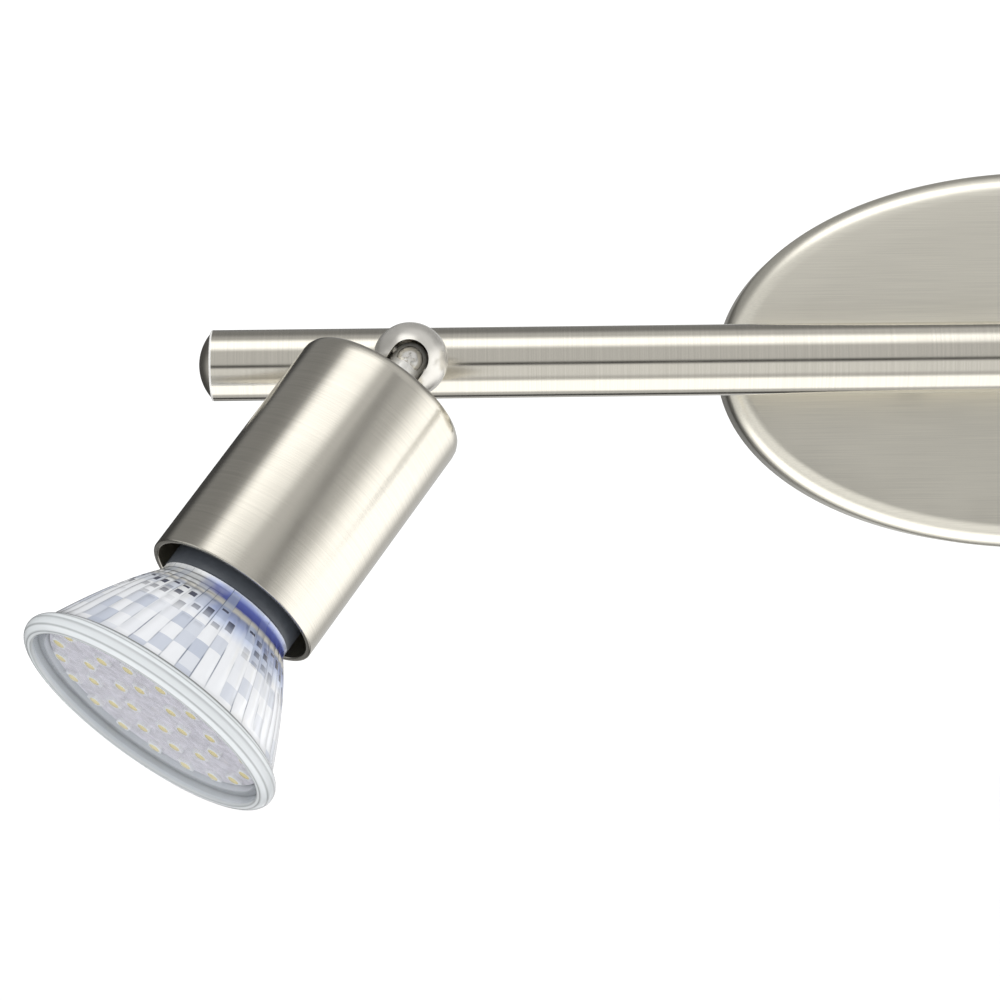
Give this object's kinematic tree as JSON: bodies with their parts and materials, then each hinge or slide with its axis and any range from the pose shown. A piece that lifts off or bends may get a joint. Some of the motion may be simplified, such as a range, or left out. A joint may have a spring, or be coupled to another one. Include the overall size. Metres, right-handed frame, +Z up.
{
  "type": "spotlight bar",
  "caption": "Wall or ceiling spotlight bar: oval canopy, round bar on hollow stems, swivelling cylindrical spots with reflector lamps.",
  "frame": {"origin": "centre of the wall bracket's back face, on the wall plane", "axes": "+X along the bar, +Z up, -Y out from the wall towards the viewer"},
  "size_m": [0.3614, 0.11, 0.1113],
  "materials": {
    "satin_nickel": "satin nickel plate",
    "brushed_nickel": "nickel plate brushed around the axis",
    "dark_nickel": "satin nickel plate, dark",
    "nickel_screw": "bright nickel",
    "zinc_plate": "bright zinc plate",
    "zinc_screw": "bright zinc",
    "brass": "plain brass",
    "spring_brass": "dull spring brass",
    "ivory_plastic": "matte",
    "ceramic": "half-matt glaze",
    "lead_sleeve": "heat-proof sleeve",
    "slate_plastic": "moulded",
    "pin_metal": "nickel",
    "circuit_board": "solder mask",
    "fluted_glass": "clear, fluted",
    "clear_glass": "clear",
    "led_plate": "white solder mask",
    "led_phosphor": "yellow phosphor"
  },
  "bodies": {
    "fixture": {"wall_bracket": "zinc_plate", "canopy": "satin_nickel", "canopy_screws": "nickel_screw", "terminal_block": "ivory_plastic", "terminal_tubes": "brass", "terminal_screws": "brass", "block_screws": "zinc_screw", "earth_screw": "zinc_screw", "spacer_collars": "satin_nickel", "hollow_stems": "zinc_plate", "stem_nuts": "zinc_plate", "bar_tube": "satin_nickel", "left_end_cap": "dark_nickel", "right_end_cap": "dark_nickel", "left_bar_leads": "lead_sleeve", "right_bar_leads": "lead_sleeve", "left_saddle_washer": "satin_nickel", "right_saddle_washer": "satin_nickel"},
    "left_swivel": {"left_swivel_ball": "satin_nickel", "left_swivel_clip": "spring_brass", "left_pivot_screws": "nickel_screw"},
    "left_head": {"left_knuckle": "satin_nickel", "left_grip_screw": "nickel_screw", "left_neck_nut": "zinc_plate", "left_shade": "brushed_nickel", "left_holder_bracket": "zinc_plate", "left_lampholder": "ceramic", "left_holder_screws": "zinc_screw", "left_holder_contacts": "spring_brass", "left_head_leads": "lead_sleeve"},
    "left_lamp": {"left_lamp_base": "slate_plastic", "left_lamp_pins": "pin_metal", "left_driver_board": "circuit_board", "left_lamp_collar": "ceramic", "left_reflector": "fluted_glass", "left_led_board": "led_plate", "left_leds": "led_phosphor", "left_cover_glass": "clear_glass"},
    "right_swivel": {"right_swivel_ball": "satin_nickel", "right_swivel_clip": "spring_brass", "right_pivot_screws": "nickel_screw"},
    "right_head": {"right_knuckle": "satin_nickel", "right_grip_screw": "nickel_screw", "right_neck_nut": "zinc_plate", "right_shade": "brushed_nickel", "right_holder_bracket": "zinc_plate", "right_lampholder": "ceramic", "right_holder_screws": "zinc_screw", "right_holder_contacts": "spring_brass", "right_head_leads": "lead_sleeve"},
    "right_lamp": {"right_lamp_base": "slate_plastic", "right_lamp_pins": "pin_metal", "right_driver_board": "circuit_board", "right_lamp_collar": "ceramic", "right_reflector": "fluted_glass", "right_led_board": "led_plate", "right_leds": "led_phosphor", "right_cover_glass": "clear_glass"}
  },
  "joints": [
    {"name": "left_pan", "type": "hinge", "parent": "fixture", "child": "left_swivel", "pos_m": [-0.1165, -0.0565, 0], "axis": [0, 1, 0], "range_deg": [-170, 170]},
    {"name": "left_tilt", "type": "hinge", "parent": "left_swivel", "child": "left_head", "pos_m": [-0.1165, -0.0565, 0], "axis": [0.809, 0, -0.5878], "range_deg": [-67.5, 1]},
    {"name": "left_lamp_twist", "type": "hinge", "parent": "left_head", "child": "left_lamp", "pos_m": [-0.1165, -0.0565, 0], "axis": [-0.543, -0.3827, -0.7474], "range_deg": [0, 20]},
    {"name": "right_pan", "type": "hinge", "parent": "fixture", "child": "right_swivel", "pos_m": [0.1165, -0.0565, 0], "axis": [0, 1, 0], "range_deg": [-170, 170]},
    {"name": "right_tilt", "type": "hinge", "parent": "right_swivel", "child": "right_head", "pos_m": [0.1165, -0.0565, 0], "axis": [0.809, 0, 0.5878], "range_deg": [-67.5, 1]},
    {"name": "right_lamp_twist", "type": "hinge", "parent": "right_head", "child": "right_lamp", "pos_m": [0.1165, -0.0565, 0], "axis": [0.543, -0.3827, -0.7474], "range_deg": [0, 20]}
  ]
}
